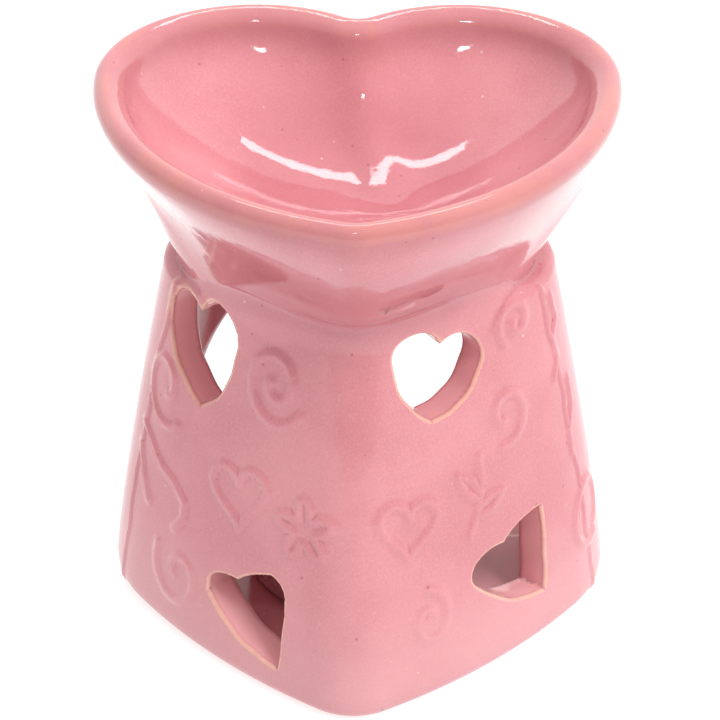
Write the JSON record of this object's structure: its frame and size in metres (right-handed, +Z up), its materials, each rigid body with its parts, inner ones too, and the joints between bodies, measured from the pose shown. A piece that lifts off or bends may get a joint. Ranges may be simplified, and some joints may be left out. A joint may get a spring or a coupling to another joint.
{
  "type": "tealight wax and oil burner",
  "caption": "Heart-plan glazed ceramic burner: a bowl luted on a hollow stand with heart cut-outs and a back doorway, heated by a tealight that slides in.",
  "frame": {"origin": "on the surface the burner stands on, under the middle of its bounding box", "axes": "+Z up, -Y towards the point of the heart (the front), +Y towards the notch and the doorway, +X to the right from the front"},
  "size_m": [0.0814, 0.0742, 0.0905],
  "materials": {
    "pink_glaze": "gloss",
    "aluminium_foil": "satin",
    "paraffin_wax": "satin",
    "tinplate": "satin",
    "waxed_cotton": "matte"
  },
  "bodies": {
    "burner": {"burner_stand": "pink_glaze", "wax_dish": "pink_glaze"},
    "tealight": {"tealight_cup": "aluminium_foil", "candle_wax": "paraffin_wax", "wick_tab": "tinplate", "candle_wick": "waxed_cotton"}
  },
  "joints": [
    {"name": "tealight_slide", "type": "slide", "parent": "burner", "child": "tealight", "axis": [0, 1, 0], "range_m": [0, 0.06]}
  ]
}
